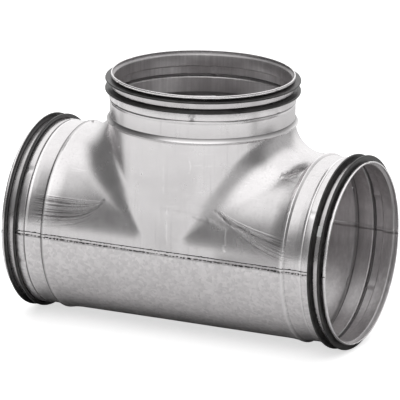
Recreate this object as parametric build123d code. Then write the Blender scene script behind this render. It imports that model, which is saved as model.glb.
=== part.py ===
from build123d import *
import os
from math import hypot

# A pressed duct tee of galvanised sheet, in millimetres.
# The run lies along X, the branch points up along Z, and the two axes cross at the origin.

# Driving sizes of the tee
duct_bore = 160.0          # inside diameter of the ducts that slide over the spigots
sheet = 0.7                # thickness of the galvanised sheet
run_length = 302.0         # rim to rim along the run
branch_height = 139.0      # branch rim above the run's axis
body_play = 0.4            # the run's body is this much under the duct's radius
neck_play = 0.8            # the neck is a little slimmer, so the saddle dies out above the seam
crotch_radius = 28.0       # outside radius of the drawn saddle between run and neck

# One spigot, from its rim inwards
rim_play = 1.5             # the rolled rim is this much under the duct's radius
rim_curl = 0.7             # the rim's edge turns in by this much
rim_width = 2.6
groove_depth = 3.8         # the gasket groove's floor, under the duct's radius
rim_wall = 1.7             # axial run of the groove's wall beside the rim
groove_width = 8.8         # flat floor of the gasket groove
guide_wall = 1.4           # axial run of the groove's wall beside the guide band
guide_play = 0.3           # the expanded guide band just enters the duct
guide_length = 7.0
step_run = 0.6             # short cone from the guide band down to the collar
collar_play = 1.0
collar_length = 15.4
bead_height = 2.7          # the stop bead stands this much over the collar
bead_flank = 1.5           # axial run of each flank of the bead
bead_crown = 1.7           # flat top of the bead

# Gasket and strap
gasket_base = 1.5          # rubber under the strap
gasket_clearance = 0.25    # between the rubber and the groove's walls
lip_squeeze = 3.3          # the free lips stand this much over the duct's radius
lip_tip = 2.2              # width of a lip's blunt tip
front_lean = 0.6           # the front lip stands nearly upright beside the rim
back_lean = 2.0            # the back lip leans over the edge of the groove, away from the rim
strap_width = 5.8
strap_thickness = 0.6
strap_clearance = 0.1      # between the strap's edges and the lips
strap_lap = 9.0            # length of the lapped end that closes the strap
front_lap = 243.0          # where a strap's lap lies, in degrees round its own spigot
rear_lap = 80.0

# Welded seam along both sides of the run
seam_lap = 3.0             # width of the lap between the two halves

duct_radius = duct_bore / 2
body_radius = duct_radius - body_play
neck_radius = duct_radius - neck_play
rim_radius = duct_radius - rim_play
floor_radius = duct_radius - groove_depth
guide_radius = duct_radius - guide_play
collar_radius = duct_radius - collar_play
bead_radius = collar_radius + bead_height
lip_radius = duct_radius + lip_squeeze
half_run = run_length / 2

# Distances from the rim along the spigot
groove_start = rim_width + rim_wall
groove_end = groove_start + groove_width
guide_start = groove_end + guide_wall
guide_end = guide_start + guide_length
collar_start = guide_end + step_run
collar_end = collar_start + collar_length
crown_start = collar_end + bead_flank
crown_end = crown_start + bead_crown
root_depth = bead_radius - (neck_radius - 2 * sheet)
root_end = crown_end + bead_flank * root_depth / bead_height
bead_middle = (crown_start + crown_end) / 2

# The outer face of the sheet as (radius, distance from the rim), ending inside the body's wall
spigot_outline = [
    (rim_radius - rim_curl, 0.0),
    (rim_radius, rim_curl),
    (rim_radius, rim_width),
    (floor_radius, groove_start),
    (floor_radius, groove_end),
    (guide_radius, guide_start),
    (guide_radius, guide_end),
    (collar_radius, collar_start),
    (collar_radius, collar_end),
    (bead_radius, crown_start),
    (bead_radius, crown_end),
    (bead_radius - root_depth, root_end),
]


def inward(outline, depth):
    """The outline moved towards the axis by depth, measured square to each of its faces."""
    normals = []
    for (r0, s0), (r1, s1) in zip(outline, outline[1:]):
        length = hypot(r1 - r0, s1 - s0)
        normals.append(((s0 - s1) / length, (r1 - r0) / length))
    moved = []
    for i, (radius, distance) in enumerate(outline):
        before = normals[max(i - 1, 0)]
        after = normals[min(i, len(normals) - 1)]
        mitre = depth / (1 + before[0] * after[0] + before[1] * after[1])
        moved.append((radius + mitre * (before[0] + after[0]), distance + mitre * (before[1] + after[1])))
    return moved


def turned(points):
    """A solid of revolution about Z from (radius, distance below the rim) points."""
    corners = [(radius, 0, -distance) for radius, distance in points]
    return revolve(make_face(Polyline(*corners, close=True)), axis=Axis.Z)


def spigot_plug(depth, past_rim):
    """Everything inside the spigot's sheet at the given depth below its outer face."""
    outline = inward(spigot_outline, depth)
    mouth = [(0, outline[0][1]), outline[0]]
    if past_rim:
        mouth = [(0, -past_rim), (outline[0][0], -past_rim), outline[0]]
    return turned(mouth + outline[1:] + [(0, outline[-1][1])])


# Each place takes a shape made with its rim at Z = 0, facing up
place_branch = Pos(0, 0, branch_height)
place_right = Pos(half_run, 0, 0) * Rot(0, 90, 0)
place_left = Pos(-half_run, 0, 0) * Rot(0, -90, 0)
run_places = [place_left, place_right]


def drawn_body(depth):
    """The run and the neck as one filled form, with the saddle between them, cut under the beads."""
    saddle = crotch_radius + depth
    run_radius = body_radius - depth
    branch_radius = neck_radius - depth
    reach = max(half_run, branch_radius + 2 * saddle)
    top = max(branch_height, run_radius + 2 * saddle)
    run = Rot(0, 90, 0) * Cylinder(run_radius, 2 * reach)
    neck = Pos(0, 0, top / 2) * Cylinder(branch_radius, top)
    blank = run + neck
    blank = fillet(new_edges(run, neck, combined=blank), saddle)
    end = half_run - bead_middle - depth
    height = branch_height - bead_middle - depth
    room = Box(2 * end, 4 * duct_radius, height + 2 * duct_radius)
    return blank & Pos(0, 0, (height - 2 * duct_radius) / 2) * room


def filled_tee(depth, past_rim):
    """The whole tee as a filled form, its surface lying depth below the outer face of the sheet."""
    tee = drawn_body(depth)
    for place in run_places + [place_branch]:
        tee += place * spigot_plug(depth, past_rim)
    return tee


tee_shell = filled_tee(0, 0) - filled_tee(sheet, sheet)

# The halves lap along the seam: the upper half keeps the outer part of the sheet, the lower half the inner part
half_sheet = sheet / 2
lap_core = Rot(0, 90, 0) * Cylinder(body_radius - half_sheet, 2 * (half_run - bead_middle))
for place in run_places:
    lap_core += place * spigot_plug(half_sheet, sheet)
lap_zone = Box(2 * run_length, 4 * duct_radius, seam_lap)
lower_room = Pos(0, 0, -2 * duct_radius) * Box(2 * run_length, 4 * duct_radius, 4 * duct_radius)
lower_cut = lower_room - lap_zone + (lap_zone & lap_core)
lower_shell = tee_shell & lower_cut
upper_shell = tee_shell - lower_cut

# The double-lip gasket, seated on the floor of the groove
seat_start = groove_start + (groove_width - strap_width) / 2 - strap_clearance
seat_end = groove_end - (groove_width - strap_width) / 2 + strap_clearance
seat_radius = floor_radius + gasket_base
front_tip = groove_start - front_lean
back_tip = groove_end + back_lean
gasket_outline = [
    (floor_radius, groove_start + gasket_clearance),
    (lip_radius, front_tip),
    (lip_radius, front_tip + lip_tip),
    (seat_radius, seat_start),
    (seat_radius, seat_end),
    (lip_radius, back_tip - lip_tip),
    (lip_radius, back_tip),
    (floor_radius, groove_end - gasket_clearance),
]
gasket = turned(gasket_outline)

# The strap, a closed band whose outer end laps over its inner end
strap_start = seat_start + strap_clearance
strap_end = strap_start + strap_width
strap_radius = seat_radius + strap_thickness
band = turned(
    [
        (seat_radius, strap_start),
        (strap_radius, strap_start),
        (strap_radius, strap_end),
        (seat_radius, strap_end),
    ]
)
lap_ring = turned(
    [
        (seat_radius, strap_start),
        (strap_radius + strap_thickness, strap_start),
        (strap_radius + strap_thickness, strap_end),
        (seat_radius, strap_end),
    ]
)


def strap(lap_angle):
    """The band with its lapped end at the given angle."""
    lap_room = Rot(0, 0, lap_angle) * Pos(strap_radius, 0, 0) * Box(strap_radius, strap_lap, 2 * strap_end)
    return band + (lap_ring & lap_room)


os.makedirs("parts", exist_ok=True)
export_step(upper_shell, "parts/upper_shell.step")
export_step(lower_shell, "parts/lower_shell.step")
for name, place, lap_angle in [
    ("left", place_left, rear_lap),
    ("right", place_right, front_lap),
    ("branch", place_branch, rear_lap),
]:
    export_step(place * gasket, f"parts/gasket_{name}.step")
    export_step(place * strap(lap_angle), f"parts/strap_{name}.step")
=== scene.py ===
import math
import bmesh
import bpy
import numpy as np
from mathutils import Matrix, Vector


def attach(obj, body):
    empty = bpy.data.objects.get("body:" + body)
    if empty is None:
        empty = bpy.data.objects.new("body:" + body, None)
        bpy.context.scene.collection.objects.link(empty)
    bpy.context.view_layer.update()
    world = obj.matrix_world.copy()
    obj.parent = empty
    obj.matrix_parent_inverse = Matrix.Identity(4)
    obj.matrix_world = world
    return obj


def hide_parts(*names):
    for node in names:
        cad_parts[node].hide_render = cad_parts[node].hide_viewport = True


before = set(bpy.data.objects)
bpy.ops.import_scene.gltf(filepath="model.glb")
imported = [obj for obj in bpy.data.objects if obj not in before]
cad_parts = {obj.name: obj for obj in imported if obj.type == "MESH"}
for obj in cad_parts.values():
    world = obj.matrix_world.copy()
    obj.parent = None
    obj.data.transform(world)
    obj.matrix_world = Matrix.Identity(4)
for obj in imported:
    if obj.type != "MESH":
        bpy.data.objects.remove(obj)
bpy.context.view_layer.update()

# Lower shell
# The trough under the run: galvanised sheet rolled to a half tube and pressed with the grooves, guide bands
# and beads of both run spigots. It laps inside the upper shell and is seam-welded to it along both sides.
millimetre = 0.001      # sizes are in millimetres, and distances count from a spigot's rim inwards
sheet = 0.7
half_run = 151.0
body_radius = 79.6
lap_half = 1.5
body_start = 42.6       # where the bead ends and the plain body starts
flare_start = 54.0      # where the body starts to rise towards its bead
flare_rise = 0.9
bead_crest = 39.2       # the crown of a bead slopes down a little from its crest to its foot
bead_foot = 41.2
guide_start = 14.5
collar_start = 24.9
bend_steps = 3          # straight steps of a bend, and the most of a straight side that it takes up
bend_share = 0.45
neck_clear = 5.0        # what stands this far above the body belongs to the branch
press_depth = 0.05      # how uneven the press leaves the sheet: its depth, and the number of waves in it
press_waves = 28
press_length = 30.0     # the shortest wave, and how many times its length is added for the longest one
press_spread = 2.5
trough_columns = 141
lap_step = 0.08         # degrees of turn over which the trough steps in to its lapped edge
body_row_count = 61
# A run spigot's outer face, as corners of (distance, radius, bend)
run_spigot_corners = [
    (0.75, 77.0, 0.0),
    (0.0, 77.6, 0.5),
    (0.3, 78.4, 0.5),
    (1.2, 78.5, 0.5),
    (2.6, 78.5, 0.8),
    (4.3, 76.2, 0.8),
    (13.1, 76.2, 0.8),
    (guide_start, 79.7, 0.8),
    (20.8, 79.7, 0.0),
    (21.5, 79.7, 0.3),
    (22.1, 78.95, 0.2),
    (23.0, 79.45, 0.4),
    (collar_start, 79.0, 0.8),
    (29.0, 79.0, 3.0),
    (36.8, 79.25, 0.0),
    (37.4, 79.3, 0.4),
    (bead_crest, 81.3, 0.9),
    (bead_foot, 80.9, 0.8),
    (body_start, body_radius + flare_rise, 0.0),
]
# Painted shade in creases, painted highlights on crests and painted shade in inner recesses, as (distance,
# half width, how much)
crease_shade_places = {
    "left": [(22.0, 0.4, 0.8), (39.2, 0.75, 0.95)],
    "right": [(22.0, 0.4, 0.3), (37.4, 0.3, 0.25)],
    "branch": [(22.0, 0.45, 0.85), (37.3, 0.45, 0.85)],
}
crest_highlight_places = [(0.6, 0.8, 0.6), (23.1, 0.6, 0.8), (39.9, 1.2, 0.9)]
recess_shade_places = [(3.4, 0.9, 0.7), (13.8, 0.5, 0.75), (22.0, 0.5, 0.95), (37.4, 0.7, 0.75), (40.6, 1.4, 0.75)]
# Marks of the six jaws of the beading tool: their angles, and (start, end, depth) along a spigot
left_marks = -50.0
right_marks = -53.3
jaw_pitch = 60.0
jaw_half_width = 2.2
jaw_depths = [(0.0, 3.0, 0.35), (14.3, 22.0, 0.68), (38.5, 41.2, 0.3)]


def bent_outline(corners, steps):
    """A sheet's outline through corners of (distance, radius, bend), each bend rounded off."""
    points = [np.array(corners[0][:2])]
    for before, here, after in zip(corners, corners[1:], corners[2:]):
        corner = np.array(here[:2])
        if here[2] == 0:
            points.append(corner)
            continue
        back = np.array(before[:2]) - corner
        ahead = np.array(after[:2]) - corner
        back_length = np.linalg.norm(back)
        ahead_length = np.linalg.norm(ahead)
        turn = math.pi - math.acos(np.clip(back @ ahead / back_length / ahead_length, -1, 1))
        setback = min(here[2] * math.tan(turn / 2), bend_share * back_length, bend_share * ahead_length)
        start = corner + back / back_length * setback
        end = corner + ahead / ahead_length * setback
        for t in np.linspace(0, 1, steps + 1):
            points.append((1 - t) ** 2 * start + 2 * t * (1 - t) * corner + t ** 2 * end)
    points.append(np.array(corners[-1][:2]))
    return np.array(points)


def jaw_marks(distance, angle, first):
    """How far the six jaws of the beading tool leave the sheet low, at a distance from the rim."""
    apart = (angle - first + jaw_pitch / 2) % jaw_pitch - jaw_pitch / 2
    near = np.exp(-(np.radians(apart) * body_radius / jaw_half_width) ** 4)
    for start, end, depth in jaw_depths:
        if start <= distance < end:
            return depth * near
    return 0.0 * near


def cover(places, distance):
    """How much painted shade or highlight some places of a spigot give at a distance from its rim, from 0 to
    1.
    """
    return max(much * math.exp(-((distance - place) / width) ** 2) for place, width, much in places)


def flare(distance):
    """How far the body rises towards a bead, at a distance from the rim."""
    rise = np.clip((flare_start - distance) / (flare_start - body_start), 0, 1)
    return flare_rise * rise ** 2


def uneven(points, outward, seed):
    """Points of a pressed sheet moved in and out a little, as the press leaves them."""
    dice = np.random.default_rng(seed)
    height = np.zeros(len(points))
    for _ in range(press_waves):
        direction = dice.normal(size=3)
        direction /= np.linalg.norm(direction)
        length = press_length * (1 + press_spread * dice.random())
        height += np.sin(points @ direction * 2 * math.pi / length + 2 * math.pi * dice.random())
    return points + outward * (press_depth * height / math.sqrt(press_waves))[:, None]


def sheet_piece(name, points, faces, distances, finishes, thickness):
    """An object of thin sheet from the points of its outer face, in millimetres, closed inwards."""
    mesh = bpy.data.meshes.new(name)
    mesh.from_pydata((points * millimetre).tolist(), [], faces)
    mesh.shade_smooth()
    run_ends = np.where(points[:, 0] < 0, "left", "right")
    spigots = np.where(points[:, 2] > body_radius + neck_clear, "branch", run_ends)
    # Painted shade in creases and recesses, and painted highlights on crests, kept on the points
    covers = {
        "crease_shade": [cover(crease_shade_places[spigot], gone) for spigot, gone in zip(spigots, distances)],
        "recess_shade": [cover(recess_shade_places, gone) for gone in distances],
        "crest_highlight": [cover(crest_highlight_places, gone) for gone in distances],
    }
    for label, values in covers.items():
        mesh.attributes.new(label, "FLOAT", "POINT").data.foreach_set("value", np.array(values, np.float32))
    for finish in finishes:
        mesh.materials.append(finish)
    piece = bpy.data.objects.new(name, mesh)
    bpy.context.scene.collection.objects.link(piece)
    wall = piece.modifiers.new("wall", "SOLIDIFY")
    wall.thickness = thickness * millimetre
    wall.offset = -1.0
    wall.material_offset = 1
    return piece


def node(tree, kind, inputs, **settings):
    """A node with its settings made and each input set, or linked where a socket is given."""
    made = tree.nodes.new(kind)
    for name, value in settings.items():
        setattr(made, name, value)
    for name, value in inputs.items():
        if isinstance(value, bpy.types.NodeSocket):
            tree.links.new(value, made.inputs[name])
        else:
            made.inputs[name].default_value = value
    return made


def vector_maths(tree, operation, *values):
    """The output of one Vector Math node over vectors or sockets: a number where it measures them."""
    made = node(tree, "ShaderNodeVectorMath", dict(enumerate(values)), operation=operation)
    measured = operation in ("DOT_PRODUCT", "DISTANCE", "LENGTH")
    return made.outputs["Value" if measured else "Vector"]


def new_finish(name):
    """An empty material, with its node tree and the shader that its nodes feed."""
    finish = bpy.data.materials.new(name)
    finish.use_nodes = True
    return finish, finish.node_tree, finish.node_tree.nodes["Principled BSDF"]


def noise(tree, place, scale, detail, roughness=0.5):
    """A Noise texture at a place."""
    return node(
        tree,
        "ShaderNodeTexNoise",
        {"Vector": place, "Scale": scale, "Detail": detail, "Roughness": roughness},
    )


def two_tone(tree, value, low, dark, high, light):
    """A colour that goes from dark, where a value is low, to light, where it is high."""
    ramp = node(tree, "ShaderNodeValToRGB", {"Fac": value})
    for stop, position, colour in zip(ramp.color_ramp.elements, (low, high), (dark, light)):
        stop.position = position
        stop.color = colour
    return ramp.outputs["Color"]


def between(tree, value, low, high):
    """A value of 0 to 1 laid out between low and high."""
    return node(tree, "ShaderNodeMapRange", {"Value": value, "To Min": low, "To Max": high}).outputs["Result"]


def toned(tree, share, colour, other):
    """A colour mixed towards another one by a share."""
    return node(tree, "ShaderNodeMix", {0: share, 6: colour, 7: other}, data_type="RGBA").outputs[2]


def mixed(tree, share, value, other):
    """A value mixed towards another one by a share."""
    return node(tree, "ShaderNodeMix", {0: share, 2: value, 3: other}, data_type="FLOAT").outputs[0]


def lined(tree, place, scales, detail):
    """Noise drawn out to lines, by a fineness of its own along X, Y and Z."""
    stretched = node(tree, "ShaderNodeMapping", {"Vector": place, "Scale": scales})
    return noise(tree, stretched.outputs["Vector"], 1.0, detail)


def bumped(tree, height, strength=0.5, depth=0.00004):
    """The normals of a face with a fine relief, its depth in metres."""
    bump = node(tree, "ShaderNodeBump", {"Height": height, "Strength": strength, "Distance": depth})
    return bump.outputs["Normal"]


def with_painted_shade(tree, colour, label):
    """A colour with the painted shade of creases or recesses laid over it."""
    shade_amount = node(tree, "ShaderNodeAttribute", {}, attribute_name=label)
    return toned(tree, shade_amount.outputs["Fac"], colour, (0.12, 0.115, 0.116, 1.0))


def with_painted_highlight(tree, colour):
    """A colour made brighter by a painted highlight on the crests of the sheet."""
    highlight_amount = node(tree, "ShaderNodeAttribute", {}, attribute_name="crest_highlight")
    return toned(tree, highlight_amount.outputs["Fac"], colour, (0.99, 0.97, 0.975, 1.0))


def spangled_zinc():
    """Hot-dip zinc that froze in crystals: each one has its own tone and its own dullness."""
    finish, tree, shader = new_finish("spangled_zinc")
    place = node(tree, "ShaderNodeTexCoord", {}).outputs["Object"]
    drift = noise(tree, place, 160.0, 2.0)
    shift = vector_maths(tree, "MULTIPLY", drift.outputs["Color"], (0.006, 0.006, 0.006))
    bent = vector_maths(tree, "ADD", place, shift)
    crystals = node(tree, "ShaderNodeTexVoronoi", {"Vector": bent, "Scale": 400.0})
    crystal = node(tree, "ShaderNodeSeparateColor", {"Color": crystals.outputs["Color"]})
    clouds = noise(tree, place, 45.0, 5.0, 0.6)
    blend = mixed(tree, 0.45, crystal.outputs["Red"], clouds.outputs["Fac"])
    tone = two_tone(tree, blend, 0.2, (0.74, 0.72, 0.725, 1.0), 0.8, (0.93, 0.905, 0.91, 1.0))
    dull = between(tree, crystal.outputs["Green"], 0.32, 0.42)
    grain = noise(tree, place, 420.0, 3.0)
    relief = mixed(tree, 0.5, grain.outputs["Fac"], crystal.outputs["Blue"])
    shader.inputs["Metallic"].default_value = 1.0
    # Painted highlights on the crests and painted shade in the creases go over the crystals' tone
    tree.links.new(with_painted_shade(tree, with_painted_highlight(tree, tone), "crease_shade"), shader.inputs["Base Color"])
    tree.links.new(dull, shader.inputs["Roughness"])
    tree.links.new(bumped(tree, relief), shader.inputs["Normal"])
    return finish


def shaded_inner_zinc():
    """The inside of the sheet: zinc left dull by drawing oil and handling, its streaked tone painted darker
    as the shade inside the tee.
    """
    finish, tree, shader = new_finish("shaded_inner_zinc")
    place = node(tree, "ShaderNodeTexCoord", {}).outputs["Object"]
    clouds = noise(tree, place, 70.0, 6.0, 0.65)
    tone = two_tone(tree, clouds.outputs["Fac"], 0.3, (0.66, 0.64, 0.645, 1.0), 0.7, (0.95, 0.925, 0.93, 1.0))
    pulled = lined(tree, place, (420.0, 420.0, 14.0), 4.0)
    streaked = toned(tree, pulled.outputs["Fac"], tone, (0.5, 0.48, 0.485, 1.0))
    dull = between(tree, clouds.outputs["Fac"], 0.32, 0.5)
    grain = noise(tree, place, 500.0, 3.0)
    shader.inputs["Metallic"].default_value = 1.0
    # Painted shade in the inner recesses goes over the streaked tone
    tree.links.new(with_painted_shade(tree, streaked, "recess_shade"), shader.inputs["Base Color"])
    tree.links.new(dull, shader.inputs["Roughness"])
    tree.links.new(bumped(tree, grain.outputs["Fac"]), shader.inputs["Normal"])
    return finish


run_outline = bent_outline(run_spigot_corners, bend_steps)
body_half = half_run - body_start
body_rows = np.sin(np.linspace(-1, 1, body_row_count)[1:-1] * math.pi / 2) * body_half
run_rows = [(distance - half_run, radius, distance, left_marks) for distance, radius in run_outline]
run_rows += [(x, body_radius + flare(half_run - abs(x)), half_run - abs(x), left_marks) for x in body_rows]
run_rows += [(half_run - distance, radius, distance, right_marks) for distance, radius in run_outline[::-1]]
seam_turn = math.degrees(math.asin(lap_half / body_radius))
trough_turns = np.linspace(90 + seam_turn + lap_step, 270 - seam_turn - lap_step, trough_columns)
lap_steps = np.array([-seam_turn, 0.0, seam_turn])
turns = np.concatenate([90 + lap_steps, trough_turns, 270 + lap_steps])
lap_tuck = np.full(len(lap_steps), sheet / 2)
tucks = np.concatenate([lap_tuck, np.zeros(len(trough_turns)), lap_tuck])
lower_points = []
for x, radius, distance, first in run_rows:
    reach = radius - tucks - jaw_marks(distance, turns, first)
    angle = np.radians(turns)
    lower_points.append(np.stack([np.full(len(turns), x), reach * np.sin(angle), reach * np.cos(angle)], 1))
lower_points = np.concatenate(lower_points)
lower_faces = []
across = len(turns)
for row in range(len(run_rows) - 1):
    for column in range(across - 1):
        corner = row * across + column
        lower_faces.append((corner, corner + across, corner + across + 1, corner + 1))
radial = lower_points * (0, 1, 1)
radial /= np.linalg.norm(radial, axis=1)[:, None]
lower_points = uneven(lower_points, radial, 3)
lower_distances = np.repeat([distance for x, radius, distance, first in run_rows], across)
inner_finish = shaded_inner_zinc()
lower_shell = sheet_piece(
    "lower_shell_sheet", lower_points, lower_faces, lower_distances, [spangled_zinc(), inner_finish], sheet
)
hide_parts("lower_shell")
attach(lower_shell, "root")

# Upper shell
# The deep-drawn half: one galvanised blank pulled up through a die into the neck and its saddle, then rolled
# at the branch and both ends of the run. Drawing burnishes the zinc, so it is brighter than the trough. It
# also leaves draw lines below the saddle, and folds, pinches and scratches on the front, with painted
# highlights on the folds and a glint, and painted shade along the pinches and in a patch above the seam.
branch_height = 139.0
neck_radius = 79.2
crotch_radius = 28.0
dish = 0.5              # the sheet stands out beside the saddle's corners, most at dish_turn
dish_turn = 58.0
dish_spread = 12.0
dish_reach = 13.0
swell = 11.0            # the saddle's radius grows at its corners, most at swell_turn
swell_turn = 48.0
swell_spread = 18.0
proud = 1.2             # the neck stands proud of the run below the saddle, and fades in over these spans
proud_softness = 0.8
proud_depths = (45.0, 65.0)
proud_foot = (1.5, 15.0)
proud_top = (60.0, 28.0)
flank_turn = 33.0       # degrees off the run's top where it starts to flare towards its beads
flank_full = 46.0
crown_end = 40.9        # the branch's bead: its crown, and the flank that falls from it to the neck
crown_radius = 81.9
bead_slope = 2.27
neck_start = 42.09
branch_marks = -72.0
# Draw lines that fan out from the lower corners of the saddle: (corner's x, its arc round the run, way along
# the run, fall, bend, first share, last share, reach)
draw_fans = [
    (-56.0, 88.0, -1, 26.0, 15.0, 0.05, 1.3, 72.0),
    (47.0, 81.0, 1, 22.0, 40.0, 0.95, 2.4, 76.0),
]
# Marks on the front face, as strokes of (start x, start z, end x, end z, width, strength)
scratches_and_glint = [
    (2.4, 84.0, 2.9, 54.0, 1.0, 0.35),
    (6.5, 43.0, 7.0, 10.0, 1.2, 0.7),
    (23.4, 86.6, 26.0, 79.7, 1.0, 0.5),
    (26.0, 79.7, 23.7, 69.9, 1.0, 0.5),
    (29.0, 80.0, 45.0, 80.0, 0.9, 0.35),
    (31.9, 57.0, 38.3, 57.0, 0.9, 0.4),
    (34.4, 90.5, 43.0, 90.5, 0.9, 0.3),
    (-57.3, 25.5, -55.4, 10.6, 1.0, 0.35),
    # This stroke is a painted glint: the lit slope of a jaw dent on the right spigot's guide band
    (131.0, 53.5, 133.5, 48.0, 4.5, 1.0),
]
# Folds are raised in the relief and painted lighter along their ridges, a painted highlight
folds_and_highlights = [
    (42.8, 33.0, 58.0, 27.6, 3.4, 0.55),
    (58.4, 28.0, 59.9, 12.0, 2.0, 0.6),
    (93.5, 70.6, 101.0, 71.6, 1.8, 0.6),
    (101.0, 71.6, 108.5, 74.0, 1.8, 0.6),
]
# Pinches and dents are sunk in the relief and painted dark along their creases, a painted shade
pinches_and_shade = [
    (46.5, 42.0, 55.7, 36.9, 2.0, 0.45),
    (55.7, 36.9, 62.3, 33.0, 2.6, 0.8),
    (62.3, 33.0, 80.0, 29.6, 2.0, 0.45),
    (29.0, 36.0, 42.0, 31.6, 2.0, 0.2),
    (-56.8, 37.0, -62.5, 30.3, 2.6, 0.5),
    (-62.5, 30.3, -75.0, 23.5, 2.2, 0.35),
    (26.1, 126.0, 26.1, 118.5, 4.2, 0.8),
    (93.0, 72.8, 101.5, 74.2, 2.2, 0.55),
    (101.5, 74.2, 108.5, 77.0, 2.2, 0.55),
    (91.0, 70.0, 109.0, 68.2, 1.4, 0.2),
]
# A painted shade: the sheet darkened in a broad patch above the seam on the right
shaded_patches = [
    (58.0, 3.0, 107.0, 9.0, 13.0, 0.7),
]
# A faint ring that the die leaves round the foot of the neck, lower away from its middle
draw_ring_height = 38.6
draw_ring_middle = 5.0
draw_ring_fall = 0.004
shake_reach = 3.0
quarter_steps = 36
path_rows = 28
path_crowding = 1.25    # the rows down the neck lie closer together near its bead
field_rows = 22
halvings = 50
collar_corners = [corner for corner in run_spigot_corners if corner[0] <= collar_start]
branch_spigot_corners = collar_corners + [
    (36.7, 79.0, 0.0),
    (37.3, 79.0, 0.4),
    (crown_end, crown_radius, 0.7),
    (neck_start, neck_radius, 0.0),
]


def saddle_column(turn):
    """Points down the neck and over the rolling-ball saddle at one turn round the branch, to the run."""
    off_axis = math.degrees(math.asin(abs(math.sin(turn))))
    ball_radius = crotch_radius + swell * math.exp(-((off_axis - swell_turn) / swell_spread) ** 2)
    ball_reach = neck_radius + ball_radius
    ball_height = math.sqrt((body_radius + ball_radius) ** 2 - (ball_reach * math.sin(turn)) ** 2)
    ball = np.array([ball_reach * math.cos(turn), ball_reach * math.sin(turn), ball_height])
    from_neck = np.array([math.cos(turn), math.sin(turn), 0.0])
    from_run = np.array([0.0, ball[1], ball[2]]) / (body_radius + ball_radius)
    sweep = math.acos(from_neck @ from_run)

    def over(t):
        weight = math.sin((1 - t) * sweep) * from_neck + math.sin(t * sweep) * from_run
        return ball - ball_radius * weight / math.sin(sweep)

    foot_height = branch_height - neck_start
    first = 0.0
    if ball_height > foot_height:
        low, high = 0.0, 1.0
        for _ in range(halvings):
            first = (low + high) / 2
            point = over(first)
            flank = crown_radius - bead_slope * (branch_height - crown_end - point[2])
            if math.hypot(point[0], point[1]) < flank:
                low = first
            else:
                high = first
        foot = over(first)
        straight = 0.0
    else:
        foot = neck_radius * from_neck + np.array([0.0, 0.0, foot_height])
        straight = foot_height - ball_height
    curved = ball_radius * sweep * (1 - first)
    points = []
    for share in np.linspace(0, 1, path_rows + 1) ** path_crowding:
        gone = share * (straight + curved)
        if gone <= straight:
            points.append(foot - np.array([0.0, 0.0, gone]))
        else:
            points.append(over(first + (gone - straight) / (ball_radius * sweep)))
    return np.array(points)


def maths(tree, operation, *values):
    """The output of one Math node over numbers or sockets."""
    return node(tree, "ShaderNodeMath", dict(enumerate(values)), operation=operation).outputs["Value"]


def eased(tree, value, low, high):
    """A smooth step from 0 at low to 1 at high."""
    step = node(
        tree,
        "ShaderNodeMapRange",
        {"Value": value, "From Min": low, "From Max": high},
        interpolation_type="SMOOTHSTEP",
    )
    return step.outputs["Result"]


def draw_fan(tree, along_run, round_run, fan):
    """Draw lines that spread from a lower corner of the saddle, with the place that they cover."""
    corner_x, corner_arc, way, fall, bend, first, last, reach = fan
    along = maths(tree, "MULTIPLY_ADD", along_run, way, -way * corner_x)
    below = maths(tree, "SUBTRACT", round_run, corner_arc)
    decay = maths(tree, "EXPONENT", maths(tree, "MULTIPLY", along, -1 / bend))
    spread = maths(tree, "MAXIMUM", maths(tree, "MULTIPLY_ADD", decay, -fall, fall), 0.5)
    share = maths(tree, "DIVIDE", below, spread)
    across = node(tree, "ShaderNodeCombineXYZ", {"X": share, "Y": maths(tree, "MULTIPLY", along, 0.0008)})
    lines = node(
        tree,
        "ShaderNodeTexNoise",
        {"Vector": across.outputs["Vector"], "Scale": 15.0, "Detail": 5.0, "Roughness": 0.65},
        noise_dimensions="2D",
    )
    started = maths(tree, "MULTIPLY", eased(tree, share, first, first + 0.06), eased(tree, along, 0.0, 5.0))
    inside = eased(tree, share, last, last - 0.5)
    ended = maths(tree, "MULTIPLY", inside, eased(tree, along, reach, reach - 18.0))
    return lines.outputs["Fac"], maths(tree, "MULTIPLY", started, ended)


def nearest_stroke(tree, face, strokes):
    """How near the front face is to any of some straight strokes, from 0 to 1 on a stroke's own line."""
    nearest = 0.0
    for start_x, start_z, end_x, end_z, width, strength in strokes:
        run = Vector((end_x - start_x, 0.0, end_z - start_z))
        from_start = vector_maths(tree, "SUBTRACT", face, (start_x, 0.0, start_z))
        share = vector_maths(tree, "DOT_PRODUCT", from_start, run / run.length_squared)
        inside = node(tree, "ShaderNodeClamp", {"Value": share}).outputs["Result"]
        on_stroke = vector_maths(tree, "MULTIPLY", run, inside)
        apart = vector_maths(tree, "DISTANCE", from_start, on_stroke)
        near = maths(tree, "MULTIPLY", eased(tree, apart, width, 0.0), strength)
        nearest = maths(tree, "MAXIMUM", nearest, near)
    return nearest


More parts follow.
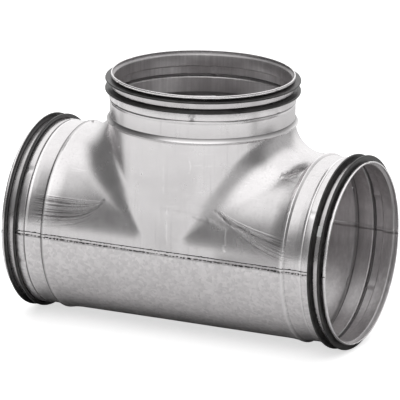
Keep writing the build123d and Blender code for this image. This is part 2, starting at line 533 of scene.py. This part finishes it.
def drawn_zinc():
    """Zinc burnished by the draw: bright and a little cloudy, with draw lines, folds and scratches, and
    painted light: highlights on folds and crests, a glint, and shade in creases, pinches and a patch by the
    seam.
    """
    finish, tree, shader = new_finish("drawn_zinc")
    place = node(tree, "ShaderNodeTexCoord", {}).outputs["Object"]
    spot = node(tree, "ShaderNodeSeparateXYZ", {"Vector": place})
    along_run = maths(tree, "DIVIDE", spot.outputs["X"], millimetre)
    side_turn = maths(tree, "ARCTAN2", maths(tree, "ABSOLUTE", spot.outputs["Y"]), spot.outputs["Z"])
    round_run = maths(tree, "MULTIPLY", side_turn, body_radius)
    fans = [draw_fan(tree, along_run, round_run, fan) for fan in draw_fans]
    clouds = noise(tree, place, 60.0, 6.0, 0.6)
    tone = two_tone(
        tree, clouds.outputs["Fac"], 0.3, (0.755, 0.735, 0.74, 1.0), 0.7, (0.84, 0.82, 0.825, 1.0)
    )
    colour = tone
    ridges = 0.0
    for lines, covered in fans:
        dark_lines = maths(tree, "MULTIPLY", eased(tree, lines, 0.54, 0.4), covered)
        colour = toned(tree, dark_lines, colour, (0.28, 0.265, 0.27, 1.0))
        ridges = maths(tree, "MULTIPLY_ADD", lines, covered, ridges)
    smears = node(
        tree,
        "ShaderNodeTexNoise",
        {"Vector": place, "Scale": 24.0, "Detail": 5.0, "Roughness": 0.6, "Distortion": 0.8},
    )
    smeared = eased(tree, smears.outputs["Fac"], 0.42, 0.75)
    colour = toned(tree, smeared, colour, (0.735, 0.715, 0.72, 1.0))
    rubbed = lined(tree, place, (40.0, 400.0, 900.0), 4.0)
    colour = toned(tree, eased(tree, rubbed.outputs["Fac"], 0.56, 0.8), colour, (0.86, 0.84, 0.845, 1.0))
    pulled = lined(tree, place, (500.0, 500.0, 16.0), 3.0)
    colour = toned(tree, eased(tree, pulled.outputs["Fac"], 0.5, 0.85), colour, (0.7, 0.68, 0.685, 1.0))
    on_front = eased(tree, spot.outputs["Y"], 0.0, -0.03)
    flat_face = vector_maths(tree, "MULTIPLY", place, (1 / millimetre, 0.0, 1 / millimetre))
    shake = noise(tree, place, 180.0, 3.0)
    shaking = (shake_reach, 0.0, shake_reach)
    face = vector_maths(tree, "MULTIPLY_ADD", shake.outputs["Color"], shaking, flat_face)
    patchy = maths(tree, "MULTIPLY", eased(tree, shake.outputs["Fac"], 0.3, 0.6), on_front)
    scratch_and_glint = maths(tree, "MULTIPLY", nearest_stroke(tree, face, scratches_and_glint), patchy)
    fold_and_highlight = maths(tree, "MULTIPLY", nearest_stroke(tree, face, folds_and_highlights), on_front)
    pinch_and_shade = maths(tree, "MULTIPLY", nearest_stroke(tree, face, pinches_and_shade), patchy)
    patch_shade = maths(tree, "MULTIPLY", nearest_stroke(tree, face, shaded_patches), on_front)
    off_middle = maths(tree, "SUBTRACT", along_run, draw_ring_middle)
    ring_drop = maths(tree, "MULTIPLY", maths(tree, "MULTIPLY", off_middle, off_middle), draw_ring_fall)
    height_now = maths(tree, "DIVIDE", spot.outputs["Z"], millimetre)
    over_ring = maths(tree, "SUBTRACT", maths(tree, "ADD", height_now, ring_drop), draw_ring_height)
    ring = maths(tree, "MULTIPLY", eased(tree, maths(tree, "ABSOLUTE", over_ring), 2.4, 0.0), smeared)
    colour = toned(tree, ring, colour, (0.62, 0.60, 0.605, 1.0))
    # The patch above the seam is painted shade, the scratches are lighter with a painted glint among them,
    # the folds carry a painted highlight and the pinches painted shade
    colour = toned(tree, patch_shade, colour, (0.42, 0.405, 0.41, 1.0))
    colour = toned(tree, scratch_and_glint, colour, (0.99, 0.97, 0.975, 1.0))
    colour = toned(tree, fold_and_highlight, colour, (0.95, 0.93, 0.935, 1.0))
    colour = toned(tree, pinch_and_shade, colour, (0.2, 0.19, 0.193, 1.0))
    dull = between(tree, clouds.outputs["Fac"], 0.21, 0.31)
    skin = noise(tree, place, 300.0, 3.0)
    relief = mixed(tree, 0.1, skin.outputs["Fac"], rubbed.outputs["Fac"])
    creased = maths(tree, "SUBTRACT", fold_and_highlight, pinch_and_shade)
    worked = maths(tree, "MULTIPLY_ADD", creased, 8.0, maths(tree, "MULTIPLY", ridges, 7.0))
    height = maths(tree, "ADD", worked, relief)
    shader.inputs["Metallic"].default_value = 1.0
    # Painted highlights on the crests and painted shade in the creases go over the colour
    tree.links.new(with_painted_shade(tree, with_painted_highlight(tree, colour), "crease_shade"), shader.inputs["Base Color"])
    tree.links.new(dull, shader.inputs["Roughness"])
    tree.links.new(bumped(tree, height), shader.inputs["Normal"])
    return finish


def flank_share(turns):
    """How much of the flare the run has at some turns off its top, in degrees, from 0 to 1."""
    return np.clip((turns - flank_turn) / (flank_full - flank_turn), 0, 1)


side = np.linspace(-1, 1, 2 * quarter_steps + 1)[:-1]
ones = np.ones(2 * quarter_steps)
square_x = np.concatenate([ones, -side, -ones, side])
square_y = np.concatenate([side, ones, -side, -ones])
columns = [saddle_column(turn) for turn in np.arctan2(square_y, square_x)]
saddle = np.stack(columns, 1)
round_count = saddle.shape[1]
foot_turns = np.arctan2(saddle[0, :, 1], saddle[0, :, 0])
upper_rows = []
upper_distances = []
for distance, radius in bent_outline(branch_spigot_corners, bend_steps)[:-1]:
    upper_distances += [distance] * round_count
    reach = radius - jaw_marks(distance, np.degrees(foot_turns), branch_marks)
    height = np.full(round_count, branch_height - distance)
    upper_rows.append(np.stack([reach * np.cos(foot_turns), reach * np.sin(foot_turns), height], 1))
upper_rows += list(saddle)
edge_turn = math.radians(90 + seam_turn)
contact_x = saddle[-1, :, 0]
contact_turn = np.arctan2(saddle[-1, :, 1], saddle[-1, :, 2])
edge_x = (half_run - body_start) * square_x
corner_turn = np.degrees(np.arcsin(np.abs(np.sin(np.arctan2(square_y, square_x)))))
corner_dish = dish * np.exp(-((corner_turn - dish_turn) / dish_spread) ** 2)
for row, share in enumerate(np.linspace(0, 1, path_rows + 1)):
    outwards = saddle[row] * (0, 1, 1)
    outwards /= np.linalg.norm(outwards, axis=1)[:, None]
    upper_rows[row - path_rows - 1] = saddle[row] + outwards * (corner_dish * share ** 2)[:, None]
for share in np.linspace(0, 1, field_rows + 1)[1:]:
    x = contact_x + share * (edge_x - contact_x)
    angle = contact_turn + share * (edge_turn * square_y - contact_turn)
    gone = np.hypot(x - contact_x, body_radius * (angle - contact_turn))
    reach = body_radius + corner_dish * np.exp(-(gone / dish_reach) ** 2)
    upper_rows.append(np.stack([x, reach * np.sin(angle), reach * np.cos(angle)], 1))
upper_faces = []
for row in range(len(upper_rows) - 1):
    for column in range(round_count):
        beside = (column + 1) % round_count
        above = row * round_count
        below = above + round_count
        upper_faces.append((above + column, below + column, below + beside, above + beside))
field_edge = (len(upper_rows) - 1) * round_count
upper_points = np.concatenate(upper_rows)
upper_distances += [flare_start] * (len(upper_points) - len(upper_distances))
flank_turns = np.degrees(np.arctan2(np.abs(upper_points[:, 1]), upper_points[:, 2]))
radial = upper_points * (0, 1, 1)
radial /= np.linalg.norm(radial, axis=1)[:, None]
upper_points += radial * (flank_share(flank_turns) * flare(half_run - np.abs(upper_points[:, 0])))[:, None]
front_depth = np.sqrt(np.maximum((neck_radius + proud) ** 2 - upper_points[:, 0] ** 2, 0))
depth = np.abs(upper_points[:, 1])
tongue = proud_softness * np.log1p(np.exp((front_depth - depth) / proud_softness))
heights = upper_points[:, 2]
for values, (low, high) in ((depth, proud_depths), (heights, proud_foot), (heights, proud_top)):
    share = np.clip((values - low) / (high - low), 0, 1)
    tongue *= share ** 2 * (3 - 2 * share)
upper_points[:, 1] += np.sign(upper_points[:, 1]) * tongue
fine_turns = np.linspace(-1, 1, 4 * quarter_steps + 1) * edge_turn
for way, first in ((1, right_marks), (-1, left_marks)):
    edge = [field_edge + i for i in range(2 * quarter_steps + 1)]
    if way < 0:
        edge = [field_edge + 6 * quarter_steps - i for i in range(2 * quarter_steps + 1)]
    start = len(upper_points)
    spigot_rows = []
    for distance, radius in run_outline[-2::-1]:
        foot_share = np.clip((distance - bead_crest) / (bead_foot - bead_crest), 0, 1)
        reach = radius - foot_share * flare_rise * (1 - flank_share(np.degrees(np.abs(fine_turns))))
        reach -= jaw_marks(distance, np.degrees(fine_turns), first)
        x = np.full(len(fine_turns), way * (half_run - distance))
        spigot_rows.append(np.stack([x, reach * np.sin(fine_turns), reach * np.cos(fine_turns)], 1))
        upper_distances += [distance] * len(fine_turns)
    upper_points = np.concatenate([upper_points] + spigot_rows)
    for i in range(2 * quarter_steps):
        fine = start + 2 * i
        fan = [(edge[i], fine, fine + 1), (edge[i], fine + 1, edge[i + 1]), (edge[i + 1], fine + 1, fine + 2)]
        upper_faces += [face[::way] for face in fan]
    for row in range(len(spigot_rows) - 1):
        for i in range(len(fine_turns) - 1):
            corner = start + row * len(fine_turns) + i
            out = corner + len(fine_turns)
            upper_faces.append((corner, out, out + 1, corner + 1)[::way])
upper_shell = sheet_piece(
    "upper_shell_sheet", upper_points, upper_faces, upper_distances, [drawn_zinc(), inner_finish], sheet
)
outward = np.zeros(len(upper_points) * 3)
upper_shell.data.vertices.foreach_get("normal", outward)
upper_points = uneven(upper_points, outward.reshape(-1, 3), 5)
upper_shell.data.vertices.foreach_set("co", (upper_points * millimetre).ravel())
upper_shell.data.update()
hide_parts("upper_shell")
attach(upper_shell, "root")

# Seam welds
# The lapped edges of the two halves are welded by a rolling electrode along the front and the back. It leaves
# a ragged scorched line at the upper edge of the lap and a row of short dark stitches at the lower edge.
seam_points = [(x, radius) for x, radius, distance, first in run_rows if distance > guide_start]
stitch_pitch = 3.1
line_radius = 0.34
line_height = 1.45
strewn_along = 0.9
strewn_across = 0.3
# The least and the greatest sizes of the stitches and of the line's burrs, in radii of the line
stitch_sizes = ((1.6, 0.6, 0.8), (5.5, 1.1, 2.1))
burr_sizes = ((1.2, 0.6, 0.6), (5.0, 1.1, 2.0))


def scorched_steel():
    """Weld metal: dark and dull, lighter where the zinc has run back over it."""
    finish, tree, shader = new_finish("scorched_steel")
    place = node(tree, "ShaderNodeTexCoord", {}).outputs["Object"]
    clouds = noise(tree, place, 260.0, 4.0)
    tone = two_tone(
        tree, clouds.outputs["Fac"], 0.42, (0.035, 0.034, 0.034, 1.0), 0.66, (0.22, 0.21, 0.212, 1.0)
    )
    dull = between(tree, clouds.outputs["Fac"], 0.45, 0.7)
    shader.inputs["Metallic"].default_value = 0.8
    tree.links.new(tone, shader.inputs["Base Color"])
    tree.links.new(dull, shader.inputs["Roughness"])
    return finish


def new_tree(name, sockets):
    """A Geometry Nodes tree with named inputs, its input and output nodes, and the inputs' identifiers."""
    tree = bpy.data.node_groups.new(name, "GeometryNodeTree")
    tree.interface.new_socket("Geometry", in_out="INPUT", socket_type="NodeSocketGeometry")
    tree.interface.new_socket("Geometry", in_out="OUTPUT", socket_type="NodeSocketGeometry")
    names = {}
    for label, kind in sockets:
        names[label] = tree.interface.new_socket(label, in_out="INPUT", socket_type=kind).identifier
    return tree, tree.nodes.new("NodeGroupInput"), tree.nodes.new("NodeGroupOutput"), names


def grown_mesh(name, source, tree, names, values):
    """The plain mesh that a tree grows from a source object, which is then removed."""
    grower = source.modifiers.new("grow", "NODES")
    grower.node_group = tree
    for label, value in values.items():
        grower[names[label]] = value
    bpy.context.view_layer.update()
    evaluated = source.evaluated_get(bpy.context.evaluated_depsgraph_get())
    mesh = bpy.data.meshes.new_from_object(evaluated)
    mesh.name = name
    source.modifiers.remove(grower)
    bpy.data.objects.remove(source)
    return mesh


def path_object(name, paths, closed):
    """A curve object of straight-run paths, from lists of points in millimetres."""
    curve = bpy.data.curves.new(name, "CURVE")
    curve.dimensions = "3D"
    for path in paths:
        spline = curve.splines.new("POLY")
        spline.points.add(len(path) - 1)
        for point, place in zip(spline.points, path):
            point.co = (*[value * millimetre for value in place], 1.0)
        spline.use_cyclic_u = closed
    source = bpy.data.objects.new(name, curve)
    bpy.context.scene.collection.objects.link(source)
    return source


def strewn_nuggets(tree, path, pitch, nugget, sizes, seed):
    """Nuggets of uneven size, strewn along a path."""
    least, greatest = sizes
    reach = (strewn_along * millimetre, 0.0, strewn_across * millimetre)
    back = tuple(-value for value in reach)
    spots = node(tree, "GeometryNodeCurveToPoints", {"Curve": path, "Length": pitch}, mode="LENGTH")
    scale = node(
        tree, "FunctionNodeRandomValue", {0: least, 1: greatest, "Seed": seed}, data_type="FLOAT_VECTOR"
    )
    shift = node(
        tree, "FunctionNodeRandomValue", {0: back, 1: reach, "Seed": seed + 1}, data_type="FLOAT_VECTOR"
    )
    strewn = node(
        tree,
        "GeometryNodeSetPosition",
        {"Geometry": spots.outputs["Points"], "Offset": shift.outputs["Value"]},
    )
    nuggets = node(
        tree,
        "GeometryNodeInstanceOnPoints",
        {"Points": strewn.outputs["Geometry"], "Instance": nugget, "Scale": scale.outputs["Value"]},
    )
    return nuggets.outputs["Instances"]


def seam_weld_tree():
    """A ragged scorched line along each path, and stitches of uneven length below it."""
    tree, given, result, names = new_tree(
        "seam_weld",
        [
            ("Line Height", "NodeSocketFloat"),
            ("Line Radius", "NodeSocketFloat"),
            ("Stitch Pitch", "NodeSocketFloat"),
            ("Finish", "NodeSocketMaterial"),
        ],
    )
    path = given.outputs["Geometry"]
    radius = given.outputs["Line Radius"]
    pitch = given.outputs["Stitch Pitch"]
    up = node(tree, "ShaderNodeCombineXYZ", {"Z": given.outputs["Line Height"]}).outputs["Vector"]
    down = vector_maths(tree, "MULTIPLY", up, (-1.0, -1.0, -1.0))
    upper, lower = [
        node(tree, "GeometryNodeSetPosition", {"Geometry": path, "Offset": way}) for way in (up, down)
    ]
    wire = node(tree, "GeometryNodeCurvePrimitiveCircle", {"Resolution": 6, "Radius": radius})
    line = node(
        tree,
        "GeometryNodeCurveToMesh",
        {"Curve": upper.outputs["Geometry"], "Profile Curve": wire.outputs["Curve"]},
    )
    nugget = node(tree, "GeometryNodeMeshUVSphere", {"Segments": 8, "Rings": 5, "Radius": radius})
    joined = node(tree, "GeometryNodeJoinGeometry", {"Geometry": line.outputs["Mesh"]})
    for row, sizes, seed in ((lower, stitch_sizes, 11), (upper, burr_sizes, 21)):
        nuggets = strewn_nuggets(tree, row.outputs["Geometry"], pitch, nugget.outputs["Mesh"], sizes, seed)
        tree.links.new(nuggets, joined.inputs["Geometry"])
    real = node(tree, "GeometryNodeRealizeInstances", {"Geometry": joined.outputs["Geometry"]})
    smooth = node(tree, "GeometryNodeSetShadeSmooth", {"Geometry": real.outputs["Geometry"]})
    dressed = node(
        tree,
        "GeometryNodeSetMaterial",
        {"Geometry": smooth.outputs["Geometry"], "Material": given.outputs["Finish"]},
    )
    tree.links.new(dressed.outputs["Geometry"], result.inputs["Geometry"])
    return tree, names


weld_paths = [[(x, way * radius, 0.0) for x, radius in seam_points] for way in (-1, 1)]
weld_tree, weld_names = seam_weld_tree()
weld_mesh = grown_mesh(
    "seam_welds",
    path_object("weld_paths", weld_paths, False),
    weld_tree,
    weld_names,
    {
        "Line Height": line_height * millimetre,
        "Line Radius": line_radius * millimetre,
        "Stitch Pitch": stitch_pitch * millimetre,
        "Finish": scorched_steel(),
    },
)
seam_welds = bpy.data.objects.new("seam_welds", weld_mesh)
bpy.context.scene.collection.objects.link(seam_welds)
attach(seam_welds, "root")

# Gaskets
# One double-lip seal of black rubber in the groove of each spigot. It is extruded as a strip, joined to a
# ring and stretched into its groove; the two soft lips stand proud and fold back as a duct slides on.
ring_turns = 241
ring_bend_steps = 4
ring_join = 0.000002    # metres within which the ends of a rolled ring are joined
gasket_points = 97
# The section as corners of (distance, radius, bend)
gasket_corners = [
    (4.55, 76.25, 0.3),
    (4.5, 80.2, 1.0),
    (4.4, 83.3, 0.8),
    (6.0, 83.3, 0.8),
    (5.8, 79.8, 0.6),
    (5.7, 77.7, 0.2),
    (11.7, 77.7, 0.2),
    (12.6, 79.8, 0.8),
    (13.2, 83.3, 0.8),
    (15.1, 83.3, 0.8),
    (14.5, 80.2, 1.0),
    (12.85, 76.25, 0.3),
]


def ring_tree():
    """A closed section, drawn as radius along X and distance along Y, rolled once round the axis Z."""
    tree, given, result, names = new_tree(
        "rolled_ring",
        [("Turns", "NodeSocketInt"), ("Section Points", "NodeSocketInt"), ("Finish", "NodeSocketMaterial")],
    )
    grid = node(
        tree,
        "GeometryNodeMeshGrid",
        {
            "Size X": 1.0,
            "Size Y": 1.0,
            "Vertices X": given.outputs["Turns"],
            "Vertices Y": given.outputs["Section Points"],
        },
    )
    share = node(tree, "ShaderNodeSeparateXYZ", {"Vector": grid.outputs["UV Map"]})
    section = node(
        tree,
        "GeometryNodeSampleCurve",
        {"Curves": given.outputs["Geometry"], "Factor": share.outputs["Y"]},
        mode="FACTOR",
        use_all_curves=True,
    )
    place = node(tree, "ShaderNodeSeparateXYZ", {"Vector": section.outputs["Position"]})
    angle = maths(tree, "MULTIPLY", share.outputs["X"], 2 * math.pi)
    reach_x = maths(tree, "MULTIPLY", place.outputs["X"], maths(tree, "COSINE", angle))
    reach_y = maths(tree, "MULTIPLY", place.outputs["X"], maths(tree, "SINE", angle))
    down = maths(tree, "MULTIPLY", place.outputs["Y"], -1.0)
    rolled = node(tree, "ShaderNodeCombineXYZ", {"X": reach_x, "Y": reach_y, "Z": down})
    bent = node(
        tree,
        "GeometryNodeSetPosition",
        {"Geometry": grid.outputs["Mesh"], "Position": rolled.outputs["Vector"]},
    )
    joined = node(
        tree, "GeometryNodeMergeByDistance", {"Geometry": bent.outputs["Geometry"], "Distance": ring_join}
    )
    smooth = node(tree, "GeometryNodeSetShadeSmooth", {"Geometry": joined.outputs["Geometry"]})
    real = node(tree, "GeometryNodeRealizeInstances", {"Geometry": smooth.outputs["Geometry"]})
    dressed = node(
        tree,
        "GeometryNodeSetMaterial",
        {"Geometry": real.outputs["Geometry"], "Material": given.outputs["Finish"]},
    )
    tree.links.new(dressed.outputs["Geometry"], result.inputs["Geometry"])
    return tree, names


def closed_section(corners):
    """A closed outline of (distance, radius, bend) corners as points of (radius, distance, 0)."""
    lead = tuple((np.array(corners[-1]) + np.array(corners[0])) / 2)
    outline = bent_outline([lead] + corners + [lead], ring_bend_steps)[:-1]
    return [(radius, distance, 0.0) for distance, radius in outline]


def facing_out(mesh):
    """Turns the faces of a closed mesh outwards."""
    form = bmesh.new()
    form.from_mesh(mesh)
    bmesh.ops.recalc_face_normals(form, faces=form.faces)
    form.to_mesh(mesh)
    form.free()
    return mesh


def black_rubber():
    """Black rubber with a bloom of dust and a fine grain."""
    finish, tree, shader = new_finish("black_rubber")
    place = node(tree, "ShaderNodeTexCoord", {}).outputs["Object"]
    dust = noise(tree, place, 130.0, 5.0)
    tone = two_tone(
        tree, dust.outputs["Fac"], 0.4, (0.016, 0.015, 0.015, 1.0), 0.75, (0.05, 0.047, 0.046, 1.0)
    )
    dull = between(tree, dust.outputs["Fac"], 0.24, 0.46)
    skin = noise(tree, place, 900.0, 2.0)
    tree.links.new(tone, shader.inputs["Base Color"])
    tree.links.new(dull, shader.inputs["Roughness"])
    tree.links.new(bumped(tree, skin.outputs["Fac"], 0.4, 0.00005), shader.inputs["Normal"])
    return finish


spigot_places = {
    "left": Matrix.Translation((-half_run * millimetre, 0, 0)) @ Matrix.Rotation(math.radians(-90), 4, "Y"),
    "right": Matrix.Translation((half_run * millimetre, 0, 0)) @ Matrix.Rotation(math.radians(90), 4, "Y"),
    "branch": Matrix.Translation((0, 0, branch_height * millimetre)),
}
roller, roller_names = ring_tree()
rubber = black_rubber()
for spigot, place in spigot_places.items():
    gasket_mesh = grown_mesh(
        f"gasket_{spigot}_ring",
        path_object("gasket_section", [closed_section(gasket_corners)], True),
        roller,
        roller_names,
        {"Turns": ring_turns, "Section Points": gasket_points, "Finish": rubber},
    )
    gasket_mesh.transform(place)
    gasket = bpy.data.objects.new(f"gasket_{spigot}_ring", facing_out(gasket_mesh))
    bpy.context.scene.collection.objects.link(gasket)
    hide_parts(f"gasket_{spigot}")
    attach(gasket, "root")

# Straps
# A narrow galvanised strip drawn tight round each gasket, between its lips, so the seal can't roll off. Its
# outer end laps over its inner end and is fastened there.
strap_points = 41
lap_rings = 13
strap_corners = [(5.8, 77.7, 0.1), (5.8, 78.3, 0.2), (11.6, 78.3, 0.2), (11.6, 77.7, 0.1)]
lap_corners = [(5.9, 78.25, 0.1), (5.9, 78.9, 0.25), (11.5, 78.9, 0.25), (11.5, 78.25, 0.1)]
lap_length = 9.0
lap_turns = {"left": 80.0, "right": 243.0, "branch": 80.0}


def strip_zinc():
    """Slit galvanised strip: smooth zinc, a little cloudy."""
    finish, tree, shader = new_finish("strip_zinc")
    place = node(tree, "ShaderNodeTexCoord", {}).outputs["Object"]
    clouds = noise(tree, place, 90.0, 4.0)
    tone = two_tone(tree, clouds.outputs["Fac"], 0.3, (0.56, 0.54, 0.545, 1.0), 0.7, (0.72, 0.70, 0.705, 1.0))
    dull = between(tree, clouds.outputs["Fac"], 0.22, 0.34)
    shader.inputs["Metallic"].default_value = 1.0
    tree.links.new(tone, shader.inputs["Base Color"])
    tree.links.new(dull, shader.inputs["Roughness"])
    return finish


def lapped_end(corners, turn):
    """The lapped end of a strap: a short bent plate at one turn round the spigot, as a form to join in."""
    section = closed_section(corners)
    half = lap_length / 2 / strap_corners[1][1]
    form = bmesh.new()
    rings = []
    for angle in np.linspace(-half, half, lap_rings) + math.radians(turn):
        ring = []
        for radius, distance, _ in section:
            spot = Vector((radius * math.cos(angle), radius * math.sin(angle), -distance)) * millimetre
            ring.append(form.verts.new(spot))
        rings.append(ring)
    for near, far in zip(rings, rings[1:]):
        for i in range(len(section)):
            j = (i + 1) % len(section)
            form.faces.new((near[i], near[j], far[j], far[i]))
    form.faces.new(rings[0][::-1])
    form.faces.new(rings[-1])
    bmesh.ops.recalc_face_normals(form, faces=form.faces)
    return form


strap_finish = strip_zinc()
for spigot, place in spigot_places.items():
    band_mesh = grown_mesh(
        f"strap_{spigot}_band",
        path_object("strap_section", [closed_section(strap_corners)], True),
        roller,
        roller_names,
        {"Turns": ring_turns, "Section Points": strap_points, "Finish": strap_finish},
    )
    facing_out(band_mesh)
    lap = lapped_end(lap_corners, lap_turns[spigot])
    lap.from_mesh(band_mesh)
    lap.to_mesh(band_mesh)
    lap.free()
    band_mesh.transform(place)
    strap = bpy.data.objects.new(f"strap_{spigot}_band", band_mesh)
    bpy.context.scene.collection.objects.link(strap)
    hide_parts(f"strap_{spigot}")
    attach(strap, "root")

# Studio
# A plain white floor and soft light for photographing bright metal: white overhead, a white backdrop behind,
# a soft box above the camera, and a darker room in front that gives the metal its contrast. The metal mirrors
# the floor as bright in front of the tee, and as shaded in a strip under it.
floor_height = -83.4
floor_radius = 1500.0
floor_sides = 96
floor_turns = np.linspace(0, 2 * math.pi, floor_sides + 1)[:-1]
camera_lift = 0.64      # how much the floor is lifted towards white for the camera, and in the metal
mirrored_lift = 0.36
dim_radius = 0.42       # metres from the tee where the lift in the metal starts, and where it is full
clear_radius = 0.85
lift_front = 0.2        # metres along Y where the lift in the metal is still full, and where it has gone
lift_back = 0.6
shade_middle = 0.025    # metres off the middle where the strip under the tee is all shade, and where it ends
shade_edge = 0.065
floor_points = [
    (floor_radius * math.cos(turn), floor_radius * math.sin(turn), floor_height) for turn in floor_turns
]
floor_mesh = bpy.data.meshes.new("studio_floor")
floor_mesh.from_pydata((np.array(floor_points) * millimetre).tolist(), [], [tuple(range(len(floor_turns)))])
floor_paint, floor_tree, floor_shader = new_finish("white_floor")
light_path = node(floor_tree, "ShaderNodeLightPath", {})
floor_place = node(floor_tree, "ShaderNodeTexCoord", {}).outputs["Object"]
from_tee = vector_maths(floor_tree, "LENGTH", floor_place)
floor_depth = node(floor_tree, "ShaderNodeSeparateXYZ", {"Vector": floor_place}).outputs["Y"]
mirrored = maths(floor_tree, "MULTIPLY", light_path.outputs["Is Glossy Ray"], mirrored_lift)
for share in (
    eased(floor_tree, from_tee, dim_radius, clear_radius),
    eased(floor_tree, floor_depth, lift_back, lift_front),
):
    mirrored = maths(floor_tree, "MULTIPLY", mirrored, share)
off_middle = maths(floor_tree, "ABSOLUTE", floor_depth)
under_tee = eased(floor_tree, off_middle, shade_edge, shade_middle)
shaded = maths(floor_tree, "MULTIPLY", light_path.outputs["Is Glossy Ray"], under_tee)
floor_colour = toned(floor_tree, shaded, (0.82, 0.82, 0.82, 1.0), (0.25, 0.25, 0.25, 1.0))
lift = maths(floor_tree, "MULTIPLY_ADD", light_path.outputs["Is Camera Ray"], camera_lift, mirrored)
floor_tree.links.new(floor_colour, floor_shader.inputs["Base Color"])
floor_shader.inputs["Roughness"].default_value = 0.9
floor_shader.inputs["Specular IOR Level"].default_value = 0.0
floor_shader.inputs["Emission Color"].default_value = (1.0, 1.0, 1.0, 1.0)
floor_tree.links.new(lift, floor_shader.inputs["Emission Strength"])
floor_mesh.materials.append(floor_paint)
studio_floor = bpy.data.objects.new("studio_floor", floor_mesh)
bpy.context.scene.collection.objects.link(studio_floor)

world = bpy.data.worlds.new("studio_light")
bpy.context.scene.world = world
world.use_nodes = True
sky = world.node_tree
toward = node(sky, "ShaderNodeTexCoord", {}).outputs["Generated"]
room_level = 0.17
# Soft lights of (azimuth, elevation, angle where it has faded, angle of its even core, strength)
soft_lights = [
    (75.0, 82.0, 62.0, 28.0, 1.16),
    (-76.0, 56.0, 46.0, 20.0, 1.27),
    (108.0, 30.0, 58.0, 23.0, 1.13),
    (-70.0, 6.0, 52.0, 20.0, 0.46),
    (40.0, 32.0, 60.0, 10.0, 0.50),
]
brightest = room_level
for azimuth, elevation, fade, core, strength in soft_lights:
    flat = math.cos(math.radians(elevation))
    aim = (
        flat * math.cos(math.radians(azimuth)),
        flat * math.sin(math.radians(azimuth)),
        math.sin(math.radians(elevation)),
    )
    glow = node(
        sky,
        "ShaderNodeMapRange",
        {
            "Value": vector_maths(sky, "DOT_PRODUCT", toward, aim),
            "From Min": math.cos(math.radians(fade)),
            "From Max": math.cos(math.radians(core)),
            "To Min": 0.0,
            "To Max": strength,
        },
        interpolation_type="SMOOTHSTEP",
    )
    brightest = maths(sky, "MAXIMUM", brightest, glow.outputs["Result"])
sky_path = node(sky, "ShaderNodeLightPath", {})
seen = mixed(sky, sky_path.outputs["Is Camera Ray"], brightest, 1.0)
sky.links.new(seen, sky.nodes["Background"].inputs["Strength"])
sky.nodes["Background"].inputs["Color"].default_value = (1.0, 1.0, 1.0, 1.0)

# Camera
# A long lens a little above the tee and to its right, as for a catalogue picture. It is far away, so that the
# two mouths look nearly the same size; angles are in radians and distances in metres.
camera_turn = -0.4265
camera_tilt = 0.2737
camera_roll = 0.0192
camera_distance = 5.9635
aim_right = 0.00029
aim_up = -0.0257
picture_width = 400
focal_pixels = 6984.0
flat = math.cos(camera_tilt)
forward = Vector((math.sin(camera_turn) * flat, math.cos(camera_turn) * flat, -math.sin(camera_tilt)))
level_right = Vector((math.cos(camera_turn), -math.sin(camera_turn), 0.0))
level_up = level_right.cross(forward)
right = math.cos(camera_roll) * level_right + math.sin(camera_roll) * level_up
up = math.cos(camera_roll) * level_up - math.sin(camera_roll) * level_right
camera_data = bpy.data.cameras.new("catalogue_camera")
camera_data.sensor_width = 36.0
camera_data.lens = focal_pixels / picture_width * camera_data.sensor_width
camera_data.clip_end = 100.0
camera = bpy.data.objects.new("catalogue_camera", camera_data)
bpy.context.scene.collection.objects.link(camera)
stand = -forward * camera_distance - right * aim_right - up * aim_up
camera.matrix_world = Matrix.Translation(stand) @ Matrix((right, up, -forward)).transposed().to_4x4()
bpy.context.scene.camera = camera
bpy.context.scene.view_settings.view_transform = "Standard"
